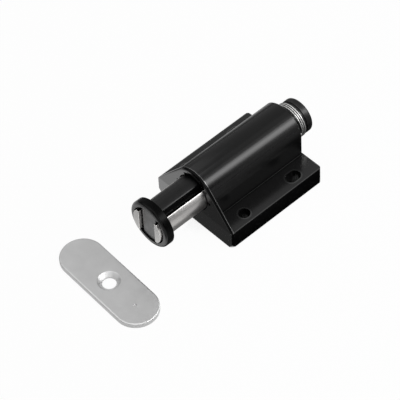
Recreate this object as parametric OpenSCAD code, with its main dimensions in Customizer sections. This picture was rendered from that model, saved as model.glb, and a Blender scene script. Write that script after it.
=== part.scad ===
// Magnetic push latch with a loose strike plate.
// The base underside lies on z = 0, the plunger points along -Y and slides in along +Y.
// The origin is the middle of the base underside.

/* [Housing] */
// Width of the screw base across the two flanges
base_w = 41; // [38:0.5:46]
// Length of the base along the plunger
base_l = 48; // [45:0.5:54]
// Height of the two screw flanges
flange_t = 8.2; // [7.5:0.1:9.5]
// Outer radius of the barrel
barrel_r = 10.1; // [9.6:0.1:11]
// Height of the barrel's round top's centre above the base underside
barrel_z = 17.15; // [16.9:0.05:18.5]
// Thickness of the sloping front wall
front_wall_t = 1.6; // [1.4:0.1:2]
// Rounding of the front wall's outer edge
front_round = 1.1; // [0.6:0.1:1.2]
// Rounding of the base's rear corners, seen from above
plan_corner_r = 1.2; // [0.6:0.1:2]
// Rounding in the foot of the barrel
foot_round = 0.4; // [0.4:0.1:1.5]
// Chamfer round the barrel's rear end
rear_chamfer = 0.5; // [0.3:0.1:0.8]
// Reach of the clipped lower front corners along the front
clip_x = 1.5; // [0.8:0.1:2]
// Reach of the clipped lower front corners along the side
clip_y = 1.8; // [0.8:0.1:2.2]
// Height of the clipped lower front corners
clip_z = 2; // [1:0.1:2.5]
// Radius of the opening in the front wall
opening_r = 8; // [7.8:0.05:8.3]
// Radius of the wider part of the opening over the plunger's spine
relief_r = 9; // [8.6:0.05:9.2]
// Half angle of that wider part
relief_angle = 35; // [25:1:40]
// Radius that the two side notches of the opening reach out to
notch_r = 9.3; // [8.8:0.05:9.6]
// Height of the side notches
notch_h = 1.2; // [0.8:0.1:1.6]
// Radius of the housing's bore
bore_r = 8.1; // [8.06:0.02:8.3]

/* [Screw holes] */
// Distance between the left and right screw holes
hole_pitch_x = 32; // [31:0.5:34]
// Distance between the front holes and the rear slots
hole_pitch_y = 26; // [22:0.5:28]
// Diameter of the front screw holes and width of the rear slots
hole_d = 4.8; // [4:0.1:5.2]
// Overall length of the rear slots
slot_l = 6.8; // [6:0.1:8]

/* [Underside] */
// Width of the hollow under the barrel
pocket_w = 16; // [14:0.5:17]
// Wall between the hollow and the two ends of the base
pocket_wall = 3.75; // [3.5:0.05:4.5]
// Height of the hollow's ceiling
pocket_h = 6.2; // [5.5:0.1:6.4]
// Thickness of the base cover
cover_t = 1.8; // [1.5:0.1:2.5]
// Rim of the base cover that rests on the housing
cover_rim = 1; // [0.8:0.1:1.3]
// Distance from the hollow's ends to the cover screws
cover_screw_inset = 3.5; // [3.1:0.1:3.6]
// Shank radius of the cover screws
cover_screw_r = 1.1; // [0.9:0.1:1.3]
// Length of the cover screws
cover_screw_l = 4.8; // [4:0.1:5]
// Head radius of the cover screws
cover_head_r = 2.1; // [1.8:0.1:2.3]
// Depth of the screw heads below the base underside
cover_head_sunk = 0.2; // [0.1:0.05:0.3]
// Width and depth of the slots in the screw heads
screw_slot = 0.5; // [0.4:0.05:0.6]
// Radius of the bosses that hold the cover screws
boss_r = 2.6; // [2.3:0.1:3]

/* [Plunger] */
// Height of the plunger axis above the base underside
axis_z = 16.5; // [16.45:0.05:16.6]
// Radius of the plunger shaft
plunger_r = 7.5; // [7.3:0.05:7.6]
// How far the plunger can be pushed in
travel = 19; // [17:0.1:20]
// Gap between the buffer ring and the housing with the plunger right in
push_gap = 0.25; // [0.2:0.05:0.4]
// Distance from the middle to the spine's edge at the open grooves beside the right pole bar
spine_right_w = 3.05; // [2.9:0.05:3.4]
// Distance from the middle to the edge of the plastic that reaches over the left pole bar
spine_left_w = 5; // [4.8:0.1:5]
// Distance from the middle to the flat inner side of a pole bar
bar_inner_x = 4.3; // [4.1:0.05:4.5]
// Half height of a pole bar
bar_half_h = 5.1; // [4.9:0.05:5.5]
// Length of a pole bar
bar_l = 31.5; // [30:0.1:33]
// How far the pole faces stand proud of the buffer ring
bar_proud = 0.95; // [0.5:0.05:1.2]
// Half height of the magnet and of the core between the bars
magnet_half_h = 3.7; // [3.6:0.05:3.9]
// Length of the magnet along the plunger
magnet_l = 8; // [6:0.1:8.4]
// Radius of the pin that holds the pole bars
pole_pin_r = 1; // [0.8:0.05:1.2]
// Length of the pin that holds the pole bars
pole_pin_l = 12.6; // [11:0.1:13]

/* [Head] */
// Outer radius of the buffer ring
ring_r = 10.25; // [9.8:0.05:10.6]
// Length of the buffer ring along the plunger
ring_l = 3.85; // [3.6:0.05:4.4]
// Rounding of the buffer ring's front edge
ring_round = 1.15; // [0.6:0.05:1.3]
// Rounding of the buffer ring's rear edge
ring_back_round = 0.35; // [0.2:0.05:0.6]
// Thickness of the buffer ring's rear web
ring_web_t = 0.9; // [0.7:0.05:1.2]
// Radius of the nose plate and of the carrier's front flange
nose_r = 8.1; // [7.9:0.05:8.4]
// Half width of the nose plate between the pole bars
nose_half_w = 3.65; // [3.2:0.05:3.9]
// How far the nose plate is sunk below the buffer ring's front
nose_sunk = 0.6; // [0.3:0.05:0.8]
// Thickness of the nose plate
nose_t = 1.2; // [1:0.05:1.4]

/* [Guides] */
// Rear end of the front bush, measured from the housing's front
bush_end = 11.25; // [10:0.05:12]
// Gap between the stop collar and the bush with the plunger out
stop_gap = 0.3; // [0.2:0.05:0.5]
// Length of the stop collar
collar_l = 5.7; // [5:0.1:6.5]
// Inner radius of the stop collar
collar_inner_r = 6.4; // [6.1:0.1:6.6]
// Radius of the pins that hold the stop collar
collar_pin_r = 0.75; // [0.6:0.05:0.9]
// Length of each collar pin
collar_pin_l = 3.1; // [2.8:0.1:3.3]
// Radius of the fixed guide core
core_r = 3.3; // [3.2:0.02:3.34]
// How far the core's front end lies behind the bush's rear edge (negative is ahead of it)
core_lead = -1.5; // [-2:0.1:-1.3]
// Height of the core's flat top above the axis
core_flat_z = 2.3; // [2.2:0.05:2.5]
// Width of the key that anchors the core
key_w = 2.6; // [2.2:0.1:2.8]
// Thickness of the key along the plunger
key_t = 3; // [2.6:0.1:3.2]
// Distance from the core's front end to the middle of the key
key_inset = 4; // [3.8:0.1:4.4]
// Height of the key's upper end below the axis
key_top = 1.9; // [1.7:0.1:2.2]
// Width of the key's foot
key_foot_w = 7; // [6:0.5:9]
// Length of the key's foot
key_foot_l = 6; // [5:0.5:7]
// Height of the key's foot
key_foot_h = 2.2; // [1.8:0.1:2.4]

/* [Latch cam] */
// Radius of the follower wire
wire_r = 0.45; // [0.4:0.01:0.48]
// Height of the follower wire above the axis
wire_z = 3.9; // [3.85:0.05:4]
// Distance from the closed end of the plunger's bore to the wire's pivot
pivot_inset = 3.5; // [3:0.1:4]
// Distance from the core's front end to the wire's tip
tip_inset = 0.7; // [0.6:0.05:0.9]
// Sideways swing of the tip at full travel
tip_swing = 1.2; // [1.15:0.01:1.22]
// Depth of the cam track in the core's flat top
track_depth = 1.2; // [1:0.05:1.25]
// Half width of the cam track at its mouth
track_mouth = 0.75; // [0.7:0.01:0.8]
// Side clearance of the wire in the widest part of the track
track_gap = 0.1; // [0.08:0.01:0.15]
// Half width of the heart-shaped island
island_half_w = 0.45; // [0.35:0.01:0.46]
// Length of the heart-shaped island
island_l = 5.1; // [4.5:0.1:5.3]
// Distance from the island to the wire's tip with the plunger right in
island_back = 2.1; // [1.8:0.1:2.4]
// Half width of the slot that the wire swings in
wire_slot_half_w = 2.2; // [2:0.05:2.3]
// Height of that slot's ceiling above the axis
wire_slot_z = 5.2; // [5.15:0.05:5.4]
// Width of the leaf spring over the wire
leaf_w = 2.4; // [2:0.1:2.8]
// Thickness of the leaf spring
leaf_t = 0.25; // [0.2:0.01:0.27]
// Length of the leaf spring
leaf_l = 12; // [10:0.5:13]

/* [Rear end] */
// Distance from the housing's rear face to the cap's shoulder
cap_gap = 5.65; // [5.4:0.05:6.5]
// Radius of the rear cap
cap_r = 7.45; // [7.4:0.05:7.9]
// Length of the rear cap behind its shoulder
cap_l = 3.1; // [2.8:0.05:4]
// Rounding of the rear cap's edge
cap_round = 1.2; // [0.6:0.05:1.4]
// Radius of the cap's neck between its shoulder and the close coils
neck_r = 6.8; // [6.6:0.05:6.85]
// Radius of the cap's sleeve inside the close coils
sleeve_r = 6.3; // [6.1:0.05:6.35]
// Length of the sleeve in front of the shoulder
sleeve_l = 6.5; // [5.8:0.1:7.5]
// Depth of the guide core's seat behind the cap's shoulder
core_seat = 0.6; // [0.4:0.05:0.8]
// Shank radius of the cap screw
cap_screw_r = 1.45; // [1.2:0.05:1.6]
// Length of the cap screw under its head
cap_screw_l = 8; // [6:0.1:9]
// Head radius of the cap screw
cap_head_r = 2.7; // [2.4:0.05:2.9]
// Head height of the cap screw
cap_head_h = 1.2; // [1:0.05:1.3]

/* [Main spring] */
// Wire diameter of the main spring
spring_wire_d = 0.55; // [0.5:0.01:0.57]
// Radius from the axis to the middle of the spring's wire
spring_mean_r = 7.4; // [7.37:0.01:7.45]
// Pitch of the close coils at the rear end
close_pitch = 0.98; // [0.97:0.01:1.05]
// Number of close coils at the rear end
rear_close_coils = 5; // [4:1:5]
// Number of close coils at the front end
front_close_coils = 2; // [1:1:2]
// Number of open coils in between
open_coils = 8; // [6:1:9]
// Radius of the bend that turns each spring end towards its seat
spring_bend_r = 0.9; // [0.8:0.05:1]
// Thickness of the washer between spring and collar
washer_t = 0.5; // [0.4:0.05:0.8]

/* [Strike plate] */
// Length of the strike plate
plate_l = 50; // [46:0.5:56]
// Width of the strike plate
plate_w = 17.9; // [16:0.1:20]
// Thickness of the strike plate
plate_t = 2; // [1.8:0.1:2.5]
// Rounding of the plate's upper edge
plate_round = 0.6; // [0.3:0.05:0.8]
// Diameter of the plate's screw hole
plate_hole_d = 5.55; // [5:0.05:6]
// Diameter of the countersink at the plate's face
sink_d = 9.2; // [8.4:0.1:9.6]
// Depth of the countersink
sink_h = 1.5; // [1.3:0.05:1.7]
// Distance from the screw hole to the locating dimple
dimple_x = 15.4; // [13:0.1:16]
// Diameter of the locating dimple
dimple_d = 1.2; // [0.8:0.1:1.6]
// Distance from the pole faces to the middle of the plate
plate_gap = 20.25; // [17:0.25:40]
// Turn of the plate as it lies in front of the latch
plate_turn = -2.7; // [-5:0.1:5]

/* [Fits] */
// Running clearance of the plunger in its bush, collar in its bore and core in the plunger
run_gap = 0.05; // [0.03:0.01:0.09]
// Clearance of pieces that are pressed or screwed together
seat_gap = 0.02; // [0.01:0.01:0.04]
// Clearance round pieces that pass each other without touching
free_gap = 0.3; // [0.25:0.01:0.35]

/* [Hidden] */
$fn = 96;

black = [0.07, 0.07, 0.075];
dark = [0.1, 0.1, 0.105];
steel = [0.69, 0.68, 0.67];
grey = [0.3, 0.3, 0.31];
cut = 0.2;

front_y = -base_l / 2;
rear_y = base_l / 2;
pocket_l = base_l - 2 * pocket_wall;
cover_screw_y = pocket_l / 2 - cover_screw_inset;
pole_y = front_y - travel - push_gap - ring_l - bar_proud;
ring_front_y = pole_y + bar_proud;
ring_rear_y = ring_front_y + ring_l;
nose_front_y = ring_front_y + nose_sunk;
nose_rear_y = nose_front_y + nose_t;
flange_rear_y = ring_rear_y - ring_web_t;
bar_rear_y = pole_y + bar_l;
magnet_front_y = nose_rear_y;
magnet_rear_y = magnet_front_y + magnet_l;
bush_rear_y = front_y + bush_end;
collar_front_y = bush_rear_y + stop_gap;
collar_rear_y = collar_front_y + collar_l;
core_front_y = bush_rear_y + core_lead;
carrier_bore_r = core_r + run_gap;
carrier_bore_y = core_front_y - travel - stop_gap;
pole_pin_y = (magnet_rear_y + carrier_bore_y) / 2;
key_y = core_front_y + key_inset;
key_slot_y = key_y - key_t / 2 - travel - free_gap;
shoulder_y = rear_y + cap_gap;
core_rear_y = shoulder_y + core_seat;
cap_rear_y = shoulder_y + cap_l;
tip_y = core_front_y + tip_inset;
pivot_y = carrier_bore_y + pivot_inset;
wire_l = tip_y - pivot_y;
track_half_w = tip_swing + wire_r + track_gap;
track_floor_z = core_flat_z - track_depth;
track_end_y = tip_y + travel + wire_r + free_gap;
island_y = tip_y + travel - island_back - island_l;
widen_y = island_y - 2 * track_half_w;
mouth_y = core_front_y + (widen_y - core_front_y) / 3;
washer_rear_y = collar_rear_y + washer_t;

// Lays a flat section, drawn as x and height above the axis, along Y from y0 to y1
module along(y0, y1, z = axis_z) {
    translate([0, y1, z]) rotate([90, 0, 0]) linear_extrude(y1 - y0) children();
}

// Round bar on the plunger axis from y0 to y1
module rod(r, y0, y1, z = axis_z) {
    translate([0, y1, z]) rotate([90, 0, 0]) cylinder(r = r, h = y1 - y0);
}

// Turns a profile, drawn as radius and y, about the plunger axis
module turned() {
    translate([0, 0, axis_z]) rotate([-90, 0, 0]) rotate_extrude() children();
}

// Square with two opposite corners given
module rect(x0, y0, x1, y1) {
    translate([x0, y0]) square([x1 - x0, y1 - y0]);
}

// Housing

// Outline of the front wall: tangents run from the flange corners to the barrel, drawn in by inset
module tent(inset) {
    hull() {
        translate([0, barrel_z]) circle(r = barrel_r - inset);
        rect(-base_w / 2, 0, base_w / 2, flange_t);
    }
}

// Front wall with its rounded outer edge
module front_wall() {
    steps = 4;
    hull() {
        for (i = [0 : steps]) {
            a = 90 * i / steps;
            along(front_y + front_round * (1 - sin(a)), front_y + front_wall_t, 0)
                tent(front_round * (1 - cos(a)));
        }
    }
}

// Opening in the front wall: round, wider over the spine and notched at both sides
module opening_section() {
    circle(r = opening_r);
    intersection() {
        circle(r = relief_r);
        polygon([[0, 0], [-2 * relief_r * tan(relief_angle), 2 * relief_r],
            [2 * relief_r * tan(relief_angle), 2 * relief_r]]);
    }
    intersection() {
        circle(r = notch_r);
        rect(-notch_r, -notch_h / 2, notch_r, notch_h / 2);
    }
}

// Section of the barrel with its upright sides
module arch(r) {
    translate([0, barrel_z]) circle(r = r);
    rect(-r, 0, r, barrel_z);
}

// Round fillet in the foot of the barrel on one side
module foot_fillet() {
    difference() {
        rect(barrel_r - cut, flange_t - cut, barrel_r + foot_round, flange_t + foot_round);
        translate([barrel_r + foot_round, flange_t + foot_round]) circle(r = foot_round);
    }
}

// Plan of the base, square at the front and rounded at the rear
module base_plan() {
    y0 = front_y + front_round;
    rect(-base_w / 2, y0, base_w / 2, rear_y - plan_corner_r);
    rect(-base_w / 2 + plan_corner_r, y0, base_w / 2 - plan_corner_r, rear_y);
    for (side = [-1, 1])
        translate([side * (base_w / 2 - plan_corner_r), rear_y - plan_corner_r]) circle(r = plan_corner_r);
}

// Wedge that clips the lower front corner on the +X side
module corner_clip() {
    c = [base_w / 2, front_y, 0];
    ends = [c - [clip_x, 0, 0], c + [0, clip_y, 0], c + [0, 0, clip_z]];
    middle = (ends[0] + ends[1] + ends[2]) / 3;
    grown = [for (e = ends) middle + (e - middle) * 1.5];
    polyhedron(points = concat([c + [clip_x, -clip_x, -clip_x] / 3], grown),
        faces = [[0, 1, 2], [0, 2, 3], [0, 3, 1], [1, 3, 2]]);
}

module screw_hole_cuts() {
    for (side = [-1, 1]) {
        x = side * hole_pitch_x / 2;
        translate([x, -hole_pitch_y / 2, -cut]) cylinder(d = hole_d, h = flange_t + 2 * cut);
        half = (slot_l - hole_d) / 2;
        for (end = [-half, half])
            translate([x, hole_pitch_y / 2 + end, -cut]) cylinder(d = hole_d, h = flange_t + 2 * cut);
        translate([x - hole_d / 2, hole_pitch_y / 2 - half, -cut])
            cube([hole_d, 2 * half, flange_t + 2 * cut]);
    }
}

// Hollow under the barrel with its cover seat
module underside_cuts() {
    translate([-pocket_w / 2, -pocket_l / 2, -cut]) cube([pocket_w, pocket_l, pocket_h + cut]);
    translate([-pocket_w / 2 - cover_rim, -pocket_l / 2 - cover_rim, -cut])
        cube([pocket_w + 2 * cover_rim, pocket_l + 2 * cover_rim, cover_t + cut]);
}

module cover_bosses() {
    for (side = [-1, 1])
        translate([0, side * cover_screw_y, cover_t]) difference() {
            cylinder(r = boss_r, h = pocket_h - cover_t + cut);
            translate([0, 0, -cut]) cylinder(r = cover_screw_r + seat_gap, h = pocket_h - cover_t + cut);
        }
}

module housing() {
    color(black) {
        difference() {
            union() {
                front_wall();
                linear_extrude(flange_t) base_plan();
                along(front_y + front_round, rear_y - rear_chamfer, 0) arch(barrel_r);
                hull() {
                    along(rear_y - 2 * rear_chamfer, rear_y - rear_chamfer, 0) arch(barrel_r);
                    along(rear_y - rear_chamfer, rear_y, 0) arch(barrel_r - rear_chamfer);
                }
                for (side = [0, 1])
                    mirror([side, 0, 0]) along(front_y + front_round, rear_y - rear_chamfer, 0) foot_fillet();
            }
            rod(bore_r, front_y + front_wall_t, rear_y + cut);
            along(front_y - cut, front_y + front_wall_t + cut) opening_section();
            screw_hole_cuts();
            for (side = [0, 1]) mirror([side, 0, 0]) corner_clip();
            underside_cuts();
            key_cut(pocket_h - cut, axis_z);
        }
        cover_bosses();
    }
}

// Opening that the anchor key passes through
module key_cut(z0, z1) {
    w = key_w + 2 * seat_gap;
    t = key_t + 2 * seat_gap;
    translate([-w / 2, key_y - t / 2, z0]) cube([w, t, z1 - z0]);
}

module base_cover() {
    w = pocket_w + 2 * (cover_rim - seat_gap);
    l = pocket_l + 2 * (cover_rim - seat_gap);
    post_h = pocket_h - key_foot_h - cover_t;
    color(dark) difference() {
        union() {
            translate([-w / 2, -l / 2, 0]) cube([w, l, cover_t]);
            translate([-key_foot_w / 2, key_y - key_foot_l / 2, cover_t - cut])
                cube([key_foot_w, key_foot_l, post_h + cut]);
        }
        for (side = [-1, 1]) translate([0, side * cover_screw_y, cover_head_sunk]) {
            translate([0, 0, -cover_head_sunk - cut])
                cylinder(r = cover_screw_r + seat_gap, h = cover_t + 2 * cut);
            translate([0, 0, -cover_head_sunk - cut])
                cylinder(r = cover_head_r + seat_gap, h = cover_head_sunk + cut);
            cylinder(r1 = cover_head_r + seat_gap, r2 = cover_screw_r + seat_gap,
                h = cover_head_r - cover_screw_r);
        }
    }
}

// Countersunk screws, head down, with a straight slot
module cover_screws() {
    color(steel) for (side = [-1, 1]) translate([0, side * cover_screw_y, cover_head_sunk]) difference() {
        union() {
            cylinder(r = cover_screw_r, h = cover_screw_l);
            cylinder(r1 = cover_head_r, r2 = cover_screw_r, h = cover_head_r - cover_screw_r);
        }
        translate([-cover_head_r, -screw_slot / 2, -screw_slot])
            cube([2 * cover_head_r, screw_slot, 2 * screw_slot]);
    }
}

module front_bush() {
    color(dark) difference() {
        rod(bore_r - seat_gap, front_y + front_wall_t, bush_rear_y);
        rod(plunger_r + run_gap, front_y, bush_rear_y + cut);
    }
}

// Guide core and its anchor

module anchor_key() {
    top_z = axis_z - key_top;
    color(steel) {
        translate([-key_w / 2, key_y - key_t / 2, pocket_h - key_foot_h])
            cube([key_w, key_t, top_z - pocket_h + key_foot_h]);
        translate([-key_foot_w / 2, key_y - key_foot_l / 2, pocket_h - key_foot_h])
            cube([key_foot_w, key_foot_l, key_foot_h]);
    }
}

// Cam track seen from above: a narrow mouth that widens beside the island
module track_plan() {
    difference() {
        polygon([[-track_mouth, core_front_y - cut], [track_mouth, core_front_y - cut],
            [track_mouth, mouth_y], [track_half_w, widen_y],
            [track_half_w, track_end_y], [-track_half_w, track_end_y],
            [-track_half_w, widen_y], [-track_mouth, mouth_y]]);
        island_plan();
    }
}

// Heart-shaped island: pointed at the front, with the latching notch at its rear
module island_plan() {
    w = island_half_w;
    y1 = island_y + island_l;
    polygon([[0, island_y], [w, y1 - w], [w * 2 / 3, y1], [0, y1 - w],
        [-w * 2 / 3, y1], [-w, y1 - w]]);
}

module guide_core() {
    color(dark) difference() {
        rod(core_r, core_front_y, core_rear_y);
        translate([-core_r, core_front_y - cut, axis_z + core_flat_z])
            cube([2 * core_r, track_end_y + core_r - core_front_y, core_r]);
        translate([0, 0, axis_z + track_floor_z]) linear_extrude(core_r) track_plan();
        key_cut(axis_z - core_r - cut, axis_z - key_top + seat_gap);
        rod(cap_screw_r + seat_gap, cap_rear_y - cap_head_h - cap_screw_l - cut, core_rear_y + cut);
    }
}

module rear_cap() {
    head_y = cap_rear_y - cap_head_h;
    color(black) difference() {
        turned() {
            rect(0, shoulder_y - sleeve_l, sleeve_r, shoulder_y + cut);
            rect(0, neck_y, neck_r, shoulder_y + cut);
            rect(0, shoulder_y, cap_r, cap_rear_y - cap_round);
            rect(0, shoulder_y, cap_r - cap_round, cap_rear_y);
            translate([cap_r - cap_round, cap_rear_y - cap_round]) circle(r = cap_round);
        }
        rod(core_r + seat_gap, shoulder_y - sleeve_l - cut, core_rear_y);
        rod(cap_screw_r + seat_gap, core_rear_y - cut, cap_rear_y);
        rod(cap_head_r + free_gap, head_y, cap_rear_y + cut);
    }
}

// Pan head screw with a cross recess
module cap_screw() {
    head_y = cap_rear_y - cap_head_h;
    recess = cap_head_h / 2;
    color(steel) difference() {
        union() {
            rod(cap_screw_r, head_y - cap_screw_l, head_y + cut);
            intersection() {
                rod(cap_head_r, head_y, cap_rear_y);
                translate([0, cap_rear_y - 2 * cap_head_r, axis_z]) sphere(r = 2 * cap_head_r);
            }
        }
        for (turn = [0, 90]) translate([0, cap_rear_y, axis_z]) rotate([0, turn, 0])
            cube([cap_head_r, 2 * recess, recess / 1.5], center = true);
    }
}

// Main spring

ring_steps = 8;
bend_steps = 3;
ring_sides = 6;
total_coils = front_close_coils + open_coils + rear_close_coils;
spring_front_y = washer_rear_y;
spring_rear_y = shoulder_y;
end_h = spring_bend_r + spring_wire_d;
coil_y0 = spring_front_y + end_h;
coil_y1 = spring_rear_y - end_h;
neck_y = coil_y1 + spring_wire_d;
open_pitch = (coil_y1 - coil_y0 - (front_close_coils + rear_close_coils) * close_pitch) / open_coils;

// Distance along the axis after t turns from the front
function coil_y(t) = coil_y0 + min(t, front_close_coils) * close_pitch
    + max(0, min(t - front_close_coils, open_coils)) * open_pitch
    + max(0, t - front_close_coils - open_coils) * close_pitch;

// Point on the spring's cylinder: w is the angle in degrees from below
function on_coil(w, y) = [-spring_mean_r * sin(w), y, axis_z - spring_mean_r * cos(w)];
function bend_turn(a) = spring_bend_r * sin(a) * 180 / (PI * spring_mean_r);

// Middle line: straight end, bend, coils, bend, straight end
spring_path = concat(
    [on_coil(-bend_turn(90), spring_front_y), on_coil(-bend_turn(90), spring_front_y + spring_wire_d)],
    [for (i = [bend_steps - 1 : -1 : 1])
        on_coil(-bend_turn(90 * i / bend_steps), coil_y0 - spring_bend_r * (1 - cos(90 * i / bend_steps)))],
    [for (i = [0 : total_coils * ring_steps]) on_coil(360 * i / ring_steps, coil_y(i / ring_steps))],
    [for (i = [1 : bend_steps - 1])
        on_coil(bend_turn(90 * i / bend_steps), coil_y1 + spring_bend_r * (1 - cos(90 * i / bend_steps)))],
    [on_coil(bend_turn(90), spring_rear_y - spring_wire_d), on_coil(bend_turn(90), spring_rear_y)]);

function unit(v) = v / norm(v);
last_point = len(spring_path) - 1;

// Direction of the wire at point i, square to the seat at both ends
function heading(i) = i <= 1 || i >= last_point - 1 ? [0, 1, 0]
    : unit(unit(spring_path[i + 1] - spring_path[i]) + unit(spring_path[i] - spring_path[i - 1]));
function outward(p) = unit([p[0], 0, p[2] - axis_z]);

// One ring of the wire: the first direction points away from the axis
function wire_ring(i) = let (
        t = heading(i),
        n = unit(outward(spring_path[i]) - (outward(spring_path[i]) * t) * t),
        b = cross(t, n))
    [for (k = [0 : ring_sides - 1])
        spring_path[i] + spring_wire_d / 2 * (cos(360 * k / ring_sides) * n + sin(360 * k / ring_sides) * b)];

spring_points = [for (i = [0 : last_point]) each wire_ring(i)];
spring_faces = concat(
    [for (k = [1 : ring_sides - 2]) [0, k, k + 1]],
    [for (i = [0 : last_point - 1], k = [0 : ring_sides - 1])
        let (a = i * ring_sides + k, b = i * ring_sides + (k + 1) % ring_sides,
            c = a + ring_sides, d = b + ring_sides)
        each [[a, c, b], [b, c, d]]],
    [for (k = [1 : ring_sides - 2])
        [last_point * ring_sides, last_point * ring_sides + k + 1, last_point * ring_sides + k]]);

// Least gap of the wire to itself, over points more than half a turn apart
spring_gap = min([for (i = [0 : last_point - ring_steps / 2], j = [i + ring_steps / 2 : last_point])
    norm(spring_path[i] - spring_path[j])]) - spring_wire_d;
echo(str("main spring, least gap to itself in mm: ", spring_gap));

module main_spring() {
    color(steel) polyhedron(points = spring_points, faces = spring_faces, convexity = 10);
}

module spring_washer() {
    color(steel) difference() {
        rod(bore_r - free_gap, collar_rear_y, washer_rear_y);
        rod(core_r + free_gap, collar_rear_y - cut, washer_rear_y + cut);
    }
}

// Plunger

// Section of one pole bar on the +X side, grown by gap
module bar_section(gap) {
    intersection() {
        circle(r = plunger_r + gap);
        rect(bar_inner_x - gap, -bar_half_h - gap, plunger_r + 1, bar_half_h + gap);
    }
}

// Both pole bars
module bars(gap, y0, y1) {
    for (side = [0, 1]) mirror([side, 0, 0]) along(y0, y1) bar_section(gap);
}

// Plastic spine and core: it reaches over the left pole bar and stops short of the right one
module spine_section() {
    intersection() {
        circle(r = plunger_r);
        rect(-spine_left_w, -plunger_r, spine_right_w, plunger_r);
    }
    rect(-bar_inner_x + seat_gap, -magnet_half_h, bar_inner_x - seat_gap, magnet_half_h);
}

module plunger_carrier() {
    magnet_gap_w = bar_inner_x + cut;
    hook_r = wire_r + run_gap;
    color(black) difference() {
        union() {
            rod(nose_r - seat_gap, nose_rear_y, flange_rear_y);
            along(flange_rear_y - cut, bar_rear_y + cut) spine_section();
            rod(plunger_r, bar_rear_y + seat_gap, collar_front_y);
            rod(collar_inner_r, collar_front_y - cut, collar_rear_y);
        }
        bars(seat_gap, nose_rear_y - cut, bar_rear_y + seat_gap);
        translate([-magnet_gap_w, magnet_front_y - cut, axis_z - magnet_half_h])
            cube([2 * magnet_gap_w, magnet_l + seat_gap + cut, 2 * magnet_half_h]);
        rod(carrier_bore_r, carrier_bore_y, collar_rear_y + cut);
        translate([-key_w / 2 - free_gap, key_slot_y, axis_z - plunger_r - cut])
            cube([key_w + 2 * free_gap, collar_rear_y - key_slot_y + cut, plunger_r]);
        translate([-wire_slot_half_w, pivot_y - wire_slot_half_w, axis_z])
            cube([2 * wire_slot_half_w, collar_front_y - pivot_y + wire_slot_half_w, wire_slot_z]);
        translate([0, pivot_y, axis_z]) cylinder(r = hook_r, h = plunger_r - wire_r);
        pole_pin_cut();
        collar_pin_cuts();
    }
}

module pole_pin_cut() {
    translate([0, pole_pin_y, axis_z]) rotate([0, 90, 0])
        cylinder(r = pole_pin_r + seat_gap, h = pole_pin_l + 2 * seat_gap, center = true);
}

module collar_pin_cuts() {
    for (side = [0, 1]) mirror([side, 0, 0])
        translate([collar_pin_x0 - seat_gap, collar_pin_y, axis_z]) rotate([0, 90, 0])
            cylinder(r = collar_pin_r + seat_gap, h = bore_r);
}

collar_pin_y = (collar_front_y + collar_rear_y) / 2;
collar_pin_x0 = bore_r - free_gap - collar_pin_l;

module stop_collar() {
    color(dark) difference() {
        rod(bore_r - run_gap, collar_front_y, collar_rear_y);
        rod(collar_inner_r + seat_gap, collar_front_y - cut, collar_rear_y + cut);
        translate([-key_w / 2 - free_gap, collar_front_y - cut, axis_z - bore_r - cut])
            cube([key_w + 2 * free_gap, collar_l + 2 * cut, bore_r]);
        collar_pin_cuts();
    }
}

module collar_pins() {
    color(steel) for (side = [0, 1]) mirror([side, 0, 0])
        translate([collar_pin_x0, collar_pin_y, axis_z]) rotate([0, 90, 0])
            cylinder(r = collar_pin_r, h = collar_pin_l);
}

module pole_bar() {
    difference() {
        along(pole_y, bar_rear_y) bar_section(0);
        pole_pin_cut();
    }
}

module pole_bar_right() {
    color(steel) pole_bar();
}

module pole_bar_left() {
    color(steel) mirror([1, 0, 0]) pole_bar();
}

module magnet() {
    h = magnet_half_h - seat_gap;
    x = bar_inner_x - seat_gap;
    color(grey) translate([-x, magnet_front_y, axis_z - h]) cube([2 * x, magnet_l, 2 * h]);
}

module pole_pin() {
    color(steel) translate([0, pole_pin_y, axis_z]) rotate([0, 90, 0])
        cylinder(r = pole_pin_r, h = pole_pin_l, center = true);
}

module nose_plate() {
    color(grey) along(nose_front_y, nose_rear_y) intersection() {
        circle(r = nose_r - seat_gap);
        rect(-nose_half_w, -nose_r, nose_half_w, nose_r);
    }
}

// Soft ring round the head: it meets the housing when the plunger is pushed right in
module buffer_ring() {
    color(black) difference() {
        turned() {
            rect(plunger_r + seat_gap, ring_front_y + ring_round, ring_r, ring_rear_y - ring_back_round);
            rect(plunger_r + seat_gap, ring_front_y, ring_r - ring_round, ring_rear_y);
            translate([ring_r - ring_round, ring_front_y + ring_round]) circle(r = ring_round);
            translate([0, ring_rear_y - ring_back_round])
                rect(ring_r - ring_round, -cut, ring_r - ring_back_round, ring_back_round);
            translate([ring_r - ring_back_round, ring_rear_y - ring_back_round]) circle(r = ring_back_round);
        }
        rod(nose_r, ring_front_y - cut, flange_rear_y);
    }
}

// Latch cam follower

// Bent wire: the front hook turns in the carrier, the rear hook runs in the cam track
module follower_wire() {
    hook_top = plunger_r - 2 * wire_r - free_gap;
    tip_z = track_floor_z + free_gap / 2;
    color(steel) translate([0, 0, axis_z]) {
        translate([0, pivot_y, wire_z]) cylinder(r = wire_r, h = hook_top - wire_z);
        translate([0, pivot_y, wire_z]) sphere(r = wire_r);
        translate([0, pivot_y, wire_z]) rotate([-90, 0, 0]) cylinder(r = wire_r, h = wire_l);
        translate([0, tip_y, wire_z]) sphere(r = wire_r);
        translate([0, tip_y, tip_z]) cylinder(r = wire_r, h = wire_z - tip_z);
    }
}

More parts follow.
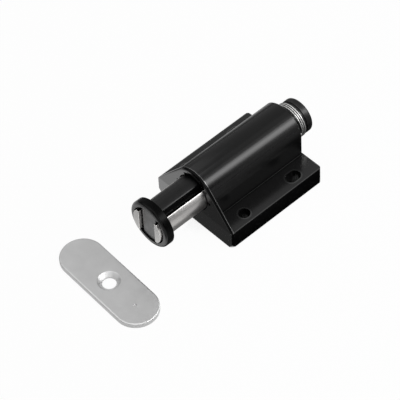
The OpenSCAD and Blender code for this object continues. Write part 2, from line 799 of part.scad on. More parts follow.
// Leaf spring over the wire: both ends bear on the slot's ceiling and the middle bows down
module follower_leaf() {
    y0 = pivot_y + wire_l / 2 - leaf_l / 2;
    foot = leaf_l / 8;
    low = wire_z + wire_r + free_gap;
    color(steel) translate([0, 0, axis_z]) rotate([90, 0, 90]) translate([0, 0, -leaf_w / 2])
        linear_extrude(leaf_w) polygon([
            [y0, wire_slot_z], [y0, wire_slot_z - leaf_t], [y0 + foot, wire_slot_z - leaf_t],
            [y0 + 3 * foot, low], [y0 + leaf_l - 3 * foot, low],
            [y0 + leaf_l - foot, wire_slot_z - leaf_t], [y0 + leaf_l, wire_slot_z - leaf_t],
            [y0 + leaf_l, wire_slot_z], [y0 + leaf_l - foot, wire_slot_z],
            [y0 + leaf_l - 3 * foot, low + leaf_t], [y0 + 3 * foot, low + leaf_t],
            [y0 + foot, wire_slot_z]]);
}

// Strike plate

// Half section of the plate's edge: flat below, rounded above
module plate_edge(half) {
    rect(0, 0, half, plate_t - plate_round);
    rect(0, 0, half - plate_round, plate_t);
    translate([half - plate_round, plate_t - plate_round]) circle(r = plate_round);
}

module strike_plate() {
    half = plate_w / 2;
    end_x = plate_l / 2 - half;
    color(steel) translate([0, pole_y - plate_gap, 0]) rotate(plate_turn) difference() {
        union() {
            for (side = [-1, 1]) translate([side * end_x, 0, 0]) rotate_extrude() plate_edge(half);
            translate([-end_x, 0, 0]) rotate([90, 0, 90]) linear_extrude(2 * end_x) {
                plate_edge(half);
                mirror([1, 0, 0]) plate_edge(half);
            }
        }
        translate([0, 0, -cut]) cylinder(d = plate_hole_d, h = plate_t + 2 * cut);
        translate([0, 0, plate_t - sink_h])
            cylinder(d1 = plate_hole_d, d2 = sink_d, h = sink_h);
        translate([dimple_x, 0, plate_t]) sphere(d = dimple_d);
    }
}

housing();
base_cover();
cover_screws();
front_bush();
anchor_key();
guide_core();
rear_cap();
cap_screw();
main_spring();
spring_washer();
plunger_carrier();
stop_collar();
collar_pins();
pole_bar_left();
pole_bar_right();
magnet();
pole_pin();
nose_plate();
buffer_ring();
follower_wire();
follower_leaf();
strike_plate();
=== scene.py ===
import math

import bmesh
import bpy
from mathutils import Matrix, Vector

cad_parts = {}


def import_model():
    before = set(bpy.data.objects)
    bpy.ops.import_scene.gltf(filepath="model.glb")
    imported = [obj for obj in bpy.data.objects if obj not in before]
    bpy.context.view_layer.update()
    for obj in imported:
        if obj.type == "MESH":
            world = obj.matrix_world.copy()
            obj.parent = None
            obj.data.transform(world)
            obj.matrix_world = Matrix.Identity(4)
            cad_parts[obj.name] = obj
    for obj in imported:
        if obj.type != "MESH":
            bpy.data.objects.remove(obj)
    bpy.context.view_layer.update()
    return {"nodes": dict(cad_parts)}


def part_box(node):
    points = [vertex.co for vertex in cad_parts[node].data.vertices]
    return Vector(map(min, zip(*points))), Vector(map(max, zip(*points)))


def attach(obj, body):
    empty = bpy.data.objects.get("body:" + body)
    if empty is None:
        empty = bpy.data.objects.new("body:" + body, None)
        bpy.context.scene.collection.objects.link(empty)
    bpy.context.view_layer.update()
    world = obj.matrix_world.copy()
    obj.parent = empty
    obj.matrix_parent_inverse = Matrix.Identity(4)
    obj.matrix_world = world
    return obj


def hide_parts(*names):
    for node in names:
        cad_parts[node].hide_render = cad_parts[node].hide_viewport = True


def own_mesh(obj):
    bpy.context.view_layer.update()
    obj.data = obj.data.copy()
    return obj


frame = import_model()
NODES = frame["nodes"]
MM = 0.001


# Sizes read from the frame

def span(node, axis):
    """Lowest and highest value of a CAD node along one axis."""
    low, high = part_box(node)
    return low[axis], high[axis]


AXIS_Z = sum(span("spring_washer", 2)) / 2
SPRING_FRONT = span("spring_washer", 1)[1]
SPRING_REAR = span("main_spring", 1)[1]
SPRING_OUTER = span("main_spring", 0)[1]

# Places on the housing in millimetres, for its material, its edges and the cards round it
HOUSING_FRONT, HOUSING_REAR = (v / MM for v in span("housing", 1))
FLANGE_SIDE = span("housing", 0)[1] / MM
FLANGE_TOP = 8.2
FOOT_FILLET = (10.34, FLANGE_TOP + 0.2)
FOOT_HALF_W = 0.22
FLANGE_EDGE = (FLANGE_SIDE, FLANGE_TOP)
EDGE_ROUND = 0.42
RIM_Y = HOUSING_FRONT + 0.65
RIM_HALF_W = 0.5
LINE_OFF_RIM = 0.14
LINE_HALF_W = 0.12
HOLE_X = 16.0
HOLE_Y = 13.0
SLOT_STRAIGHT = 1.0
HOLE_RIM_R = 2.64
HOLE_RIM_HALF_W = 0.32


# Node helpers

def new_material(name):
    m = bpy.data.materials.new(name)
    m.use_nodes = True
    tree = m.node_tree
    return m, tree, tree.nodes["Principled BSDF"]


def empty_material(name):
    m = bpy.data.materials.new(name)
    m.use_nodes = True
    m.node_tree.nodes.clear()
    return m, m.node_tree


def insides(m):
    return m.node_tree, m.node_tree.nodes["Principled BSDF"]


def node(tree, kind, **values):
    n = tree.nodes.new(kind)
    for key, value in values.items():
        setattr(n, key, value)
    return n


def math_node(tree, operation, first, second=0.0):
    n = node(tree, "ShaderNodeMath", operation=operation)
    for socket, value in zip(n.inputs, (first, second)):
        if isinstance(value, float):
            socket.default_value = value
        else:
            tree.links.new(value, socket)
    return n.outputs["Value"]


def from_place(tree, value, place):
    """Distance from a place along one axis."""
    return math_node(tree, "ABSOLUTE", math_node(tree, "SUBTRACT", value, place))


def source(shader, name):
    """What feeds an input of the shader now."""
    return shader.inputs[name].links[0].from_socket


def placed(tree, stretch=(1.0, 1.0, 1.0)):
    """Position on the object in millimetres, stretched along its axes."""
    where = node(tree, "ShaderNodeTexCoord")
    scale = node(tree, "ShaderNodeMapping")
    scale.inputs["Scale"].default_value = [s / MM for s in stretch]
    tree.links.new(where.outputs["Object"], scale.inputs["Vector"])
    return scale.outputs["Vector"]


def parts_of(tree, vector):
    split = node(tree, "ShaderNodeSeparateXYZ")
    tree.links.new(vector, split.inputs["Vector"])
    return split.outputs


def facing_of(tree):
    """Which way the surface faces, along X, Y and Z."""
    return parts_of(tree, node(tree, "ShaderNodeTexCoord").outputs["Normal"])


def noise(tree, where, per_mm, detail=2.0, rough=0.5):
    n = node(tree, "ShaderNodeTexNoise")
    n.inputs["Scale"].default_value = per_mm
    n.inputs["Detail"].default_value = detail
    n.inputs["Roughness"].default_value = rough
    tree.links.new(where, n.inputs["Vector"])
    return n.outputs["Fac"]


def ranged(tree, value, low, high, start=0.3, end=0.7):
    """Turns a value that goes from start to end into one that goes from low to high."""
    r = node(tree, "ShaderNodeMapRange")
    for key, v in (("From Min", start), ("From Max", end), ("To Min", low), ("To Max", high)):
        r.inputs[key].default_value = v
    tree.links.new(value, r.inputs["Value"])
    return r.outputs["Result"]


def within(tree, distance, half_w, blur, inside, outside=1.0):
    """One value near a place and another away from it, with a soft border."""
    return ranged(tree, distance, inside, outside, half_w - blur, half_w + blur)


def tinted(tree, value, dark, light):
    """Colour from dark to light. Each is a colour or what another node gives."""
    mix = node(tree, "ShaderNodeMix", data_type="RGBA")
    for key, tone in (("A", dark), ("B", light)):
        if isinstance(tone, tuple):
            mix.inputs[key].default_value = (*tone, 1.0)
        else:
            tree.links.new(tone, mix.inputs[key])
    tree.links.new(value, mix.inputs["Factor"])
    return mix.outputs["Result"]


def bumped(tree, shader, height, depth_mm, strength, under=None):
    b = node(tree, "ShaderNodeBump")
    b.inputs["Distance"].default_value = depth_mm * MM
    b.inputs["Strength"].default_value = strength
    tree.links.new(height, b.inputs["Height"])
    if under is not None:
        tree.links.new(under, b.inputs["Normal"])
    tree.links.new(b.outputs["Normal"], shader.inputs["Normal"])
    return b.outputs["Normal"]


def openness(tree, reach_mm):
    """1 on open surfaces, less in corners and hollows of the same piece."""
    corner = node(tree, "ShaderNodeAmbientOcclusion", samples=6, only_local=True)
    corner.inputs["Distance"].default_value = reach_mm * MM
    return corner.outputs["AO"]


# Materials: lengths in millimetres, noise in features per millimetre

MOTTLE_PER_MM = 0.35
MOTTLE_LIGHTER = 1.35
FLOW_DEPTH = 0.008
FLOW_STRENGTH = 0.25
GRAIN_STRENGTH = 0.35
CLOUDS_PER_MM = 0.22
LINES_STRENGTH = 0.3
CORNER_REACH = 2
DIMPLE_REACH = 0.35
# Lighter grey of the painted highlight line on the housing
PAINTED_HIGHLIGHT_TONE = (0.16, 0.16, 0.16)
PLATE_SIDE_SHADE = (0.6, 0.6, 0.6)
PLATE_PIT_SHADE = (0.06, 0.06, 0.06)
SAWN_STEEL = (0.3, 0.295, 0.29)
NEAR_BLACK_FLATS = (0.004, 0.004, 0.004)


def moulded_plastic(name, tone, rough, grain_per_mm, grain_depth, ior=1.5, spread=0.04):
    """Black moulded plastic: fine mould grain, faint flow mottling and uneven gloss."""
    m, tree, shader = new_material(name)
    where = placed(tree)
    mottle = noise(tree, where, MOTTLE_PER_MM, 3.0)
    grain = noise(tree, where, grain_per_mm, 2.0, 0.6)
    light = tuple(c * MOTTLE_LIGHTER for c in tone)
    colour = tinted(tree, ranged(tree, mottle, 0.0, 1.0), tone, light)
    tree.links.new(colour, shader.inputs["Base Color"])
    tree.links.new(ranged(tree, mottle, rough - spread, rough + spread), shader.inputs["Roughness"])
    shader.inputs["IOR"].default_value = ior
    wave = bumped(tree, shader, mottle, FLOW_DEPTH, FLOW_STRENGTH)
    bumped(tree, shader, grain, grain_depth, GRAIN_STRENGTH, wave)
    return m


def worked_metal(name, dark, light, rough, stretch, lines_per_mm, depth, spread=0.08):
    """Metal with fine working lines along one axis and cloudy handling marks."""
    m, tree, shader = new_material(name)
    shader.inputs["Metallic"].default_value = 1.0
    lines = noise(tree, placed(tree, stretch), lines_per_mm, 3.0, 0.65)
    clouds = noise(tree, placed(tree), CLOUDS_PER_MM, 4.0, 0.6)
    colour = tinted(tree, ranged(tree, clouds, 0.0, 1.0), dark, light)
    tree.links.new(colour, shader.inputs["Base Color"])
    tree.links.new(ranged(tree, clouds, rough - spread, rough + spread), shader.inputs["Roughness"])
    bumped(tree, shader, lines, depth, LINES_STRENGTH)
    return m


def dulled(m):
    """Takes the gloss out of sharp inner corners."""
    tree, shader = insides(m)
    gloss = ranged(tree, openness(tree, CORNER_REACH), 0.22, 0.5, 0.5, 0.88)
    tree.links.new(gloss, shader.inputs["Specular IOR Level"])
    return m


def off_corner(tree, values, corner):
    """The larger of the two distances from a corner."""
    first, second = (from_place(tree, v, p) for v, p in zip(values, corner))
    return math_node(tree, "MAXIMUM", first, second)


def off_hole_rim(tree, aside, along):
    """Distance from the rounded rim of the nearest screw hole. The rear ones are slots."""
    across = math_node(tree, "SUBTRACT", aside, HOLE_X)
    past = from_place(tree, math_node(tree, "ABSOLUTE", along), HOLE_Y)
    rear = math_node(tree, "GREATER_THAN", along, 0.0)
    straight = math_node(tree, "MULTIPLY", rear, SLOT_STRAIGHT)
    past = math_node(tree, "MAXIMUM", math_node(tree, "SUBTRACT", past, straight), 0.0)
    squares = (math_node(tree, "MULTIPLY", v, v) for v in (across, past))
    radius = math_node(tree, "SQRT", math_node(tree, "ADD", *squares))
    return from_place(tree, radius, HOLE_RIM_R)


def edge_line(tree, rim, where):
    """1 on the thin line behind the front rim, above the flanges' sides, where the housing gets a
    painted highlight and more gloss.
    """
    line = from_place(tree, rim, RIM_HALF_W + LINE_OFF_RIM)
    line = within(tree, line, LINE_HALF_W, 0.04, 1.0, 0.0)
    behind = math_node(tree, "GREATER_THAN", where["Y"], RIM_Y)
    above = ranged(tree, where["Z"], 0.0, 1.0, FLANGE_TOP - 0.5, FLANGE_TOP - 0.2)
    return math_node(tree, "MULTIPLY", math_node(tree, "MULTIPLY", line, behind), above)


def gloss_shares(tree, upright, where, rim, line):
    """What the housing's gloss is multiplied by: less on walls, rim and foot, more along edges."""
    aside = math_node(tree, "ABSOLUTE", where["X"])
    cross = (aside, where["Z"])
    walls = ranged(tree, upright, 1.0, 0.19, 0.9, 0.999)
    hole_rims = within(tree, off_hole_rim(tree, aside, where["Y"]), HOLE_RIM_HALF_W, 0.04, 2.0)
    foot = within(tree, off_corner(tree, cross, FOOT_FILLET), FOOT_HALF_W, 0.02, 0.12)
    flange_edge = within(tree, off_corner(tree, cross, FLANGE_EDGE), EDGE_ROUND, 0.05, 2.2)
    front_rim = within(tree, rim, RIM_HALF_W, 0.08, 0.15)
    front_line = ranged(tree, line, 1.0, 3.5, 0.0, 1.0)
    rear_edge = ranged(tree, where["Y"], 1.0, 2.2, HOUSING_REAR - 0.45, HOUSING_REAR - 0.3)
    flanges = ranged(tree, where["Z"], 1.9, 1.0, FLANGE_TOP + 0.1, FLANGE_TOP + 0.4)
    return walls, hole_rims, foot, flange_edge, front_rim, front_line, rear_edge, flanges


def housing_plastic():
    """Black gloss plastic: dull upright walls and front rim, glossy flanges, more gloss along edges,
    and a painted highlight line behind the front rim.
    """
    m = dulled(moulded_plastic("housing_plastic", (0.002, 0.002, 0.0021), 0.17, 3.5, 0.002,
                               spread=0.015))
    tree, shader = insides(m)
    facing = facing_of(tree)
    where = parts_of(tree, placed(tree))
    upright = math_node(tree, "MAXIMUM", math_node(tree, "ABSOLUTE", facing["X"]), facing["Y"])
    rim = from_place(tree, where["Y"], RIM_Y)
    line = edge_line(tree, rim, where)

    rough = ranged(tree, upright, 0.0, 0.22, 0.76, 0.99)
    rough = math_node(tree, "ADD", source(shader, "Roughness"), rough)
    tree.links.new(rough, shader.inputs["Roughness"])

    # Painted highlight: a lighter grey line behind the front rim, fainter higher up
    painted_highlight = math_node(tree, "MULTIPLY", line, ranged(tree, where["Z"], 1.0, 0.35, 9.0, 15.0))
    tone = tinted(tree, painted_highlight, source(shader, "Base Color"), PAINTED_HIGHLIGHT_TONE)
    tree.links.new(tone, shader.inputs["Base Color"])

    gloss = source(shader, "Specular IOR Level")
    for share in gloss_shares(tree, upright, where, rim, line):
        gloss = math_node(tree, "MULTIPLY", gloss, share)
    tree.links.new(gloss, shader.inputs["Specular IOR Level"])
    return m


def plate_steel():
    """Rolled steel plate: softer side walls and countersink with painted shade on them, and painted
    shade in the punched dimple.
    """
    m = worked_metal("plate_steel", (0.65, 0.65, 0.65), (0.69, 0.69, 0.69), 0.42,
                     (0.25, 1.0, 1.0), 5.0, 0.006, spread=0.04)
    tree, shader = insides(m)
    level = math_node(tree, "ABSOLUTE", facing_of(tree)["Z"])
    # Painted shade: side walls, countersink and bevels made darker
    steep_shade = ranged(tree, level, 1.0, 0.0, 0.3, 0.95)
    side = tinted(tree, steep_shade, source(shader, "Base Color"), PLATE_SIDE_SHADE)
    # Painted shade in the punched dimple, from ambient occlusion
    pit_shade = ranged(tree, openness(tree, DIMPLE_REACH), 1.0, 0.0, 0.55, 0.85)
    tree.links.new(tinted(tree, pit_shade, side, PLATE_PIT_SHADE), shader.inputs["Base Color"])
    rough = ranged(tree, level, 0.3, 0.0, 0.3, 0.95)
    rough = math_node(tree, "ADD", source(shader, "Roughness"), rough)
    tree.links.new(rough, shader.inputs["Roughness"])
    return m


def buffer_rubber():
    """Soft black rubber, dull on its round side, with more sheen on the front lip."""
    m = moulded_plastic("buffer_rubber", (0.0018, 0.0018, 0.0018), 0.24, 4.0, 0.003,
                        ior=1.33, spread=0.02)
    tree, shader = insides(m)
    gloss = ranged(tree, facing_of(tree)["Y"], 0.5, 0.14, -0.85, -0.25)
    tree.links.new(gloss, shader.inputs["Specular IOR Level"])
    return m


def bar_steel():
    """Ground steel bar: bright round side, duller sawn end, near black on the flat top and bottom."""
    m = worked_metal("bar_steel", (0.88, 0.86, 0.84), (0.94, 0.92, 0.9), 0.3,
                     (1.0, 0.06, 1.0), 6.0, 0.003, spread=0.03)
    tree, shader = insides(m)
    facing = facing_of(tree)
    end = ranged(tree, math_node(tree, "MULTIPLY", facing["Y"], -1.0), 0.0, 1.0, 0.85, 0.95)
    # The flat top and bottom faces are made near black
    flat = ranged(tree, math_node(tree, "ABSOLUTE", facing["Z"]), 0.0, 1.0, 0.96, 0.985)
    sawn = tinted(tree, end, source(shader, "Base Color"), SAWN_STEEL)
    tree.links.new(tinted(tree, flat, sawn, NEAR_BLACK_FLATS), shader.inputs["Base Color"])
    return m


EVEN = (1.0, 1.0, 1.0)
MATERIALS = {
    "housing": housing_plastic(),
    "inner": moulded_plastic("inner_plastic", (0.009, 0.009, 0.0095), 0.42, 5.0, 0.01),
    "plunger": dulled(moulded_plastic("plunger_plastic", (0.003, 0.003, 0.0031), 0.3, 6.0, 0.004)),
    "nose": moulded_plastic("nose_plastic", (0.012, 0.012, 0.0122), 0.34, 6.0, 0.008),
    "rubber": buffer_rubber(),
    "cap": moulded_plastic("cap_plastic", (0.006, 0.006, 0.0062), 0.33, 4.0, 0.008),
    "bar": bar_steel(),
    "plate": plate_steel(),
    "wire": worked_metal("spring_wire", (0.82, 0.82, 0.81), (0.9, 0.9, 0.89), 0.43,
                         EVEN, 8.0, 0.001, spread=0.03),
    "zinc": worked_metal("zinc_steel", (0.5, 0.5, 0.52), (0.62, 0.62, 0.64), 0.3,
                         EVEN, 5.0, 0.006),
    "ferrite": moulded_plastic("ferrite", (0.03, 0.03, 0.032), 0.6, 4.0, 0.02),
}


def coat(obj, key):
    obj.data.materials.clear()
    obj.data.materials.append(MATERIALS[key])
    for p in obj.data.polygons:
        p.material_index = 0


# CAD nodes that are shown, each with its material and the width of its softened edges

WELD_DISTANCE = 0.000002
FLAT_ANGLE = math.radians(0.5)
EDGE_ANGLE = math.radians(32)
EDGE_SEGMENTS = 3
SHOWN = {
    "housing": ("housing", EDGE_ROUND),
    "base_cover": ("inner", 0.1),
    "cover_screws": ("zinc", 0.08),
    "front_bush": ("inner", 0.08),
    "anchor_key": ("zinc", 0.08),
    "guide_core": ("inner", 0.08),
    "rear_cap": ("cap", 0.12),
    "cap_screw": ("zinc", 0.08),
    "spring_washer": ("zinc", 0.05),
    "plunger_carrier": ("plunger", 0.1),
    "stop_collar": ("inner", 0.1),
    "collar_pins": ("zinc", 0.05),
    "pole_bar_left": ("bar", 0.2),
    "pole_bar_right": ("bar", 0.2),
    "magnet": ("ferrite", 0.05),
    "pole_pin": ("zinc", 0.05),
    "nose_plate": ("nose", 0.08),
    "buffer_ring": ("rubber", 0.25),
    "follower_wire": ("wire", 0.0),
    "follower_leaf": ("wire", 0.0),
    "strike_plate": ("plate", 0.1),
}


def soften(obj, width_mm):
    """Gives the CAD piece real rounded edges."""
    weld = obj.modifiers.new("weld", "WELD")
    weld.merge_threshold = WELD_DISTANCE
    flat = obj.modifiers.new("flat", "DECIMATE")
    flat.decimate_type = "DISSOLVE"
    flat.angle_limit = FLAT_ANGLE
    round_off = obj.modifiers.new("round", "BEVEL")
    round_off.width = width_mm * MM
    round_off.segments = EDGE_SEGMENTS
    round_off.limit_method = "ANGLE"
    round_off.angle_limit = EDGE_ANGLE
    round_off.harden_normals = True
    round_off.miter_outer = "MITER_ARC"


for name, (key, width) in SHOWN.items():
    coat(NODES[name], key)
    if width:
        soften(NODES[name], width)


# Main spring

WIRE_R = 0.23 * MM
COIL_R = SPRING_OUTER - WIRE_R
CLOSE_PITCH = 0.84 * MM
REAR_CLOSE = 3.1
FRONT_CLOSE = 2
OPEN_COILS = 7.9
END_RISE = 1.1 * MM
END_TURN = 0.06
END_STEPS = 8
RINGS = 40
SIDES = 12


def coil_point(turn, y):
    a = 2 * math.pi * turn
    return Vector((-COIL_R * math.sin(a), y, AXIS_Z - COIL_R * math.cos(a)))


def coil_line():
    """Middle line of the wire, front to rear, as points in the row frame."""
    start = SPRING_FRONT + WIRE_R
    stop = SPRING_REAR - END_RISE
    opened = stop - start - (FRONT_CLOSE + REAR_CLOSE) * CLOSE_PITCH
    turns = FRONT_CLOSE + OPEN_COILS + REAR_CLOSE
    points = []
    for i in range(round(turns * RINGS) + 1):
        t = i / RINGS
        y = start + min(t, FRONT_CLOSE) * CLOSE_PITCH
        y += min(max(t - FRONT_CLOSE, 0), OPEN_COILS) * opened / OPEN_COILS
        y += max(t - FRONT_CLOSE - OPEN_COILS, 0) * CLOSE_PITCH
        points.append(coil_point(t, y))
    rise = SPRING_REAR - WIRE_R - stop
    for i in range(1, END_STEPS + 1):
        lift = rise * (1 - math.cos(math.pi * i / END_STEPS)) / 2
        points.append(coil_point(END_TURN * i / END_STEPS, stop + lift))
    return points


def add_mesh(name, bm):
    mesh = bpy.data.meshes.new(name)
    bm.to_mesh(mesh)
    bm.free()
    obj = bpy.data.objects.new(name, mesh)
    bpy.context.scene.collection.objects.link(obj)
    return obj


def tube(name, points, radius, sides):
    """One closed tube along the points, its first side away from the plunger axis."""
    bm = bmesh.new()
    rings = []
    last = len(points) - 1
    for i, p in enumerate(points):
        ahead = (points[min(i + 1, last)] - points[max(i - 1, 0)]).normalized()
        out = Vector((p.x, 0, p.z - AXIS_Z))
        out = (out - out.dot(ahead) * ahead).normalized()
        side = ahead.cross(out)
        rings.append([bm.verts.new(p + radius * (math.cos(a) * out + math.sin(a) * side))
                      for a in (2 * math.pi * k / sides for k in range(sides))])
    for a, b in zip(rings, rings[1:]):
        for k in range(sides):
            bm.faces.new((a[k], a[(k + 1) % sides], b[(k + 1) % sides], b[k]))
    bm.faces.new(list(reversed(rings[0])))
    bm.faces.new(rings[-1])
    bmesh.ops.recalc_face_normals(bm, faces=bm.faces)
    for f in bm.faces:
        f.smooth = True
    return add_mesh(name, bm)


spring = tube("spring_coils", coil_line(), WIRE_R, SIDES)
coat(spring, "wire")
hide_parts("main_spring")
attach(spring, "base")
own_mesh(spring)


# Floor

FLOOR_HALF = 3
FLOOR_Z = -0.00002
PAINTED_SHADOW_REACH = 12 * MM
PAPER_TONE = 0.8
CLEAN_SHARE = 0.97


def quad(name, corners):
    bm = bmesh.new()
    bm.faces.new([bm.verts.new(c) for c in corners])
    obj = add_mesh(name, bm)
    return obj


def mix_shaders(tree, factor, first, second):
    mix = node(tree, "ShaderNodeMixShader")
    if isinstance(factor, float):
        mix.inputs["Fac"].default_value = factor
    else:
        tree.links.new(factor, mix.inputs["Fac"])
    tree.links.new(first, mix.inputs[1])
    tree.links.new(second, mix.inputs[2])
    return mix.outputs["Shader"]


def seen(tree):
    """1 for camera, glossy and transmission rays, else 0."""
    path = node(tree, "ShaderNodeLightPath")
    total = path.outputs["Is Camera Ray"]
    for name in ("Is Glossy Ray", "Is Transmission Ray"):
        total = math_node(tree, "MAXIMUM", total, path.outputs[name])
    return total


def floor_material():
    """White paper: plain to the lamps, clean white where it is seen, with a little of the object's
    real shadow and a painted shadow where it is enclosed.
    """
    m, tree = empty_material("paper")
    paper = node(tree, "ShaderNodeBsdfDiffuse")
    paper.inputs["Color"].default_value = (PAPER_TONE, PAPER_TONE, PAPER_TONE, 1)
    white = node(tree, "ShaderNodeEmission")
    white.inputs["Color"].default_value = (1, 1, 1, 1)
    # Painted shadow: the white is dimmed where ambient occlusion is low, as in the screw holes
    painted_shadow_ao = node(tree, "ShaderNodeAmbientOcclusion", samples=8)
    painted_shadow_ao.inputs["Distance"].default_value = PAINTED_SHADOW_REACH
    strength = ranged(tree, painted_shadow_ao.outputs["AO"], 0.01, 1.0, 0.12, 0.42)
    tree.links.new(strength, white.inputs["Strength"])
    clean = mix_shaders(tree, CLEAN_SHARE, paper.outputs["BSDF"], white.outputs["Emission"])
    surface = mix_shaders(tree, seen(tree), paper.outputs["BSDF"], clean)
    out = node(tree, "ShaderNodeOutputMaterial")
    tree.links.new(surface, out.inputs["Surface"])
    return m


floor = quad("floor", [(x * FLOOR_HALF, y * FLOOR_HALF, FLOOR_Z)
                       for x, y in ((-1, -1), (1, -1), (1, 1), (-1, 1))])
floor.data.materials.append(floor_material())


# Studio: even light from all round, soft patches that only reflections see, and softboxes

PLAIN_LIGHT = 0.15
DARK_STUDIO = 0.03
# Direction, angle of the full part and angle where it ends in degrees, radiance
PATCHES = {
    "left": ((-0.55, 0.45, 0.7), 30, 70, 0.33),
    "rear": ((0.25, 0.96, 0.05), 18, 44, 0.5),
    "right": ((0.9, 0.42, 0.2), 4, 20, 0.24),
    "above": ((-0.05, -0.2, 0.97), 8, 30, 1.6),
    "front_left": ((-0.49, -0.67, 0.56), 8, 28, 0.9),
    "front_right": ((0.5, -0.66, 0.56), 8, 30, 1.5),
}


def patch(tree, heading, direction, inner, outer, radiance):
    """Soft round patch of the studio: full up to the inner angle, gone at the outer one."""
    dot = node(tree, "ShaderNodeVectorMath", operation="DOT_PRODUCT")
    dot.inputs[1].default_value = Vector(direction).normalized()
    tree.links.new(heading, dot.inputs[0])
    fade = node(tree, "ShaderNodeMapRange", interpolation_type="SMOOTHSTEP")
    fade.inputs["From Min"].default_value = math.cos(math.radians(outer))
    fade.inputs["From Max"].default_value = math.cos(math.radians(inner))
    fade.inputs["To Max"].default_value = radiance
    tree.links.new(dot.outputs["Value"], fade.inputs["Value"])
    return fade.outputs["Result"]


def background(tree, level):
    n = node(tree, "ShaderNodeBackground")
    n.inputs["Color"].default_value = (level, level, level, 1)
    return n


def world():
    """Plain light from all round, dim studio with patches in reflections, white behind the object."""
    w = bpy.data.worlds.new("room")
    w.use_nodes = True
    tree = w.node_tree
    tree.nodes.clear()
    heading = node(tree, "ShaderNodeTexCoord").outputs["Generated"]
    studio = DARK_STUDIO
    for values in PATCHES.values():
        studio = math_node(tree, "ADD", studio, patch(tree, heading, *values))
    room = background(tree, PLAIN_LIGHT).outputs["Background"]
    white = background(tree, 1).outputs["Background"]
    dim = background(tree, 1)
    tree.links.new(studio, dim.inputs["Strength"])
    path = node(tree, "ShaderNodeLightPath")
    lit = mix_shaders(tree, path.outputs["Is Glossy Ray"], room, dim.outputs["Background"])
    out = node(tree, "ShaderNodeOutputWorld")
    tree.links.new(mix_shaders(tree, path.outputs["Is Camera Ray"], lit, white), out.inputs["Surface"])
    bpy.context.scene.world = w


# Width and radiance of each layer of the main softbox
MAIN_LAYERS = ((0.12, 0.9), (0.22, 1.5), (0.32, 1.4), (0.44, 0.7))
MAIN_SIDE = (0.595, 0.42, 0.685)
MAIN_DISTANCE = 0.7
SOFTBOX_LENGTH = 1.2


def turned(right, up, back, place):
    """Matrix of a lamp or camera that looks against its back direction."""
    m = Matrix((right, up, back)).transposed().to_4x4()
    m.translation = place
    return m


def softbox(name, direction, distance, width, length, radiance):
    """Area lamp that faces the object, with its length along Y."""
    lamp = bpy.data.lights.new(name, "AREA")
    lamp.shape = "RECTANGLE"
    lamp.size = width
    lamp.size_y = length
    lamp.energy = radiance * math.pi * width * length
    obj = bpy.data.objects.new(name, lamp)
    bpy.context.scene.collection.objects.link(obj)
    back = Vector(direction).normalized()
    up = Vector((0, 1, 0))
    up = (up - up.dot(back) * back).normalized()
    obj.matrix_world = turned(up.cross(back), up, back, back * distance)


def softboxes():
    """One main softbox in layers, so that its reflection fades at the sides, and three weaker ones."""
    for width, radiance in MAIN_LAYERS:
        name = "softbox_%d" % (width * 100)
        softbox(name, MAIN_SIDE, MAIN_DISTANCE + width / 4, width, SOFTBOX_LENGTH, radiance)
    softbox("softbox_rim", (0.59, 0.42, 0.69), 0.85, 0.72, SOFTBOX_LENGTH, 0.34)
    softbox("softbox_halo", (0.42, 0.42, 0.8), 0.9, 1.1, SOFTBOX_LENGTH, 0.12)
    softbox("softbox_left", (-0.62, -0.1, 0.75), 0.9, 0.8, 0.8, 0.5)


CARD_STEP = 0.1


def card(name, x0, y0, x1, y1, radiance, level=1):
    """Card that lies on the floor, in millimetres. Only reflections see it."""
    z = level * CARD_STEP
    corners = ((x0, y0, z), (x1, y0, z), (x1, y1, z), (x0, y1, z))
    obj = quad(name, [Vector(c) * MM for c in corners])
    m, tree = empty_material(name)
    tone = node(tree, "ShaderNodeEmission")
    tone.inputs["Strength"].default_value = radiance
    out = node(tree, "ShaderNodeOutputMaterial")
    tree.links.new(tone.outputs["Emission"], out.inputs["Surface"])
    obj.data.materials.append(m)
    obj.visible_camera = False
    obj.visible_diffuse = False
    obj.visible_shadow = False
    obj.visible_transmission = False


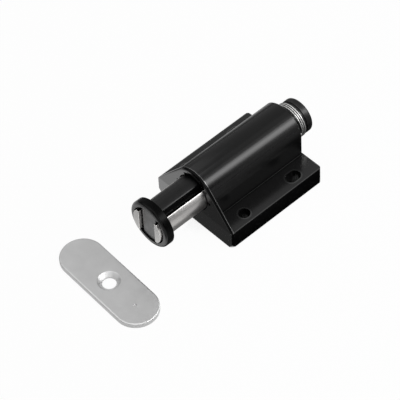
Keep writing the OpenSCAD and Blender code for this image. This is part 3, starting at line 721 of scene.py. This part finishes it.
def cards():
    """Cards round the latch: bright in front, dim or dark at its sides and behind it. The dim ones in
    front of its right part and behind it are painted shade, floor in the latch's shade seen only in
    reflections.
    """
    front, front_line, front_end = HOUSING_FRONT, -50, -62
    rear = 600
    end = 3000
    card("card_left_near", -55, front, -FLANGE_SIDE, rear, 0.5)
    card("card_left_mid", -120, front, -55, rear, 0.25)
    card("card_left_far", -900, front, -120, rear, 0.12)
    card("card_front_left", -600, front_line, -4, front, 1.35)
    card("card_front", -600, front_end, 40, front_line, 1.45)
    # Painted shade: floor in front of the right part, in the latch's shade
    card("card_front_right", -4, front_line, 24, front, 0.135)
    card("card_right_front", 24, front_line, 600, front, 0.5)
    card("card_right", FLANGE_SIDE, front, 36, rear, 0.0)
    card("card_far_right", 36, front, end, end, 0.24)
    # Painted shade: floor behind the latch, in its shade
    card("card_rear", -FLANGE_SIDE, HOUSING_REAR + 0.5, FLANGE_SIDE, end, 0.05)
    card("card_bar", 30, front, 140, 16, 0.42, level=2)


world()
softboxes()
cards()


# Camera: the photo's own place, turn and lens

YAW, PITCH, ROLL = (math.radians(a) for a in (49.6466, 49.7955, -3.6170))
PLACE = (-0.015694, -0.005375, 0.95311)
SENSOR_WIDTH = 36
LENS = 220.907
NEAREST, FARTHEST = 0.01, 20


def photo_camera():
    reach = math.cos(PITCH)
    back = Vector((math.sin(YAW) * reach, -math.cos(YAW) * reach, math.sin(PITCH)))
    flat = Vector((math.cos(YAW), math.sin(YAW), 0))
    upright = back.cross(flat)
    right = math.cos(ROLL) * flat + math.sin(ROLL) * upright
    up = math.cos(ROLL) * upright - math.sin(ROLL) * flat
    data = bpy.data.cameras.new("photo_camera")
    data.sensor_width = SENSOR_WIDTH
    data.lens = LENS
    data.clip_start = NEAREST
    data.clip_end = FARTHEST
    cam = bpy.data.objects.new("photo_camera", data)
    bpy.context.scene.collection.objects.link(cam)
    place = PLACE[0] * right + PLACE[1] * up + PLACE[2] * back
    cam.matrix_world = turned(right, up, back, place)
    bpy.context.scene.camera = cam


photo_camera()
bpy.context.scene.view_settings.view_transform = "Standard"
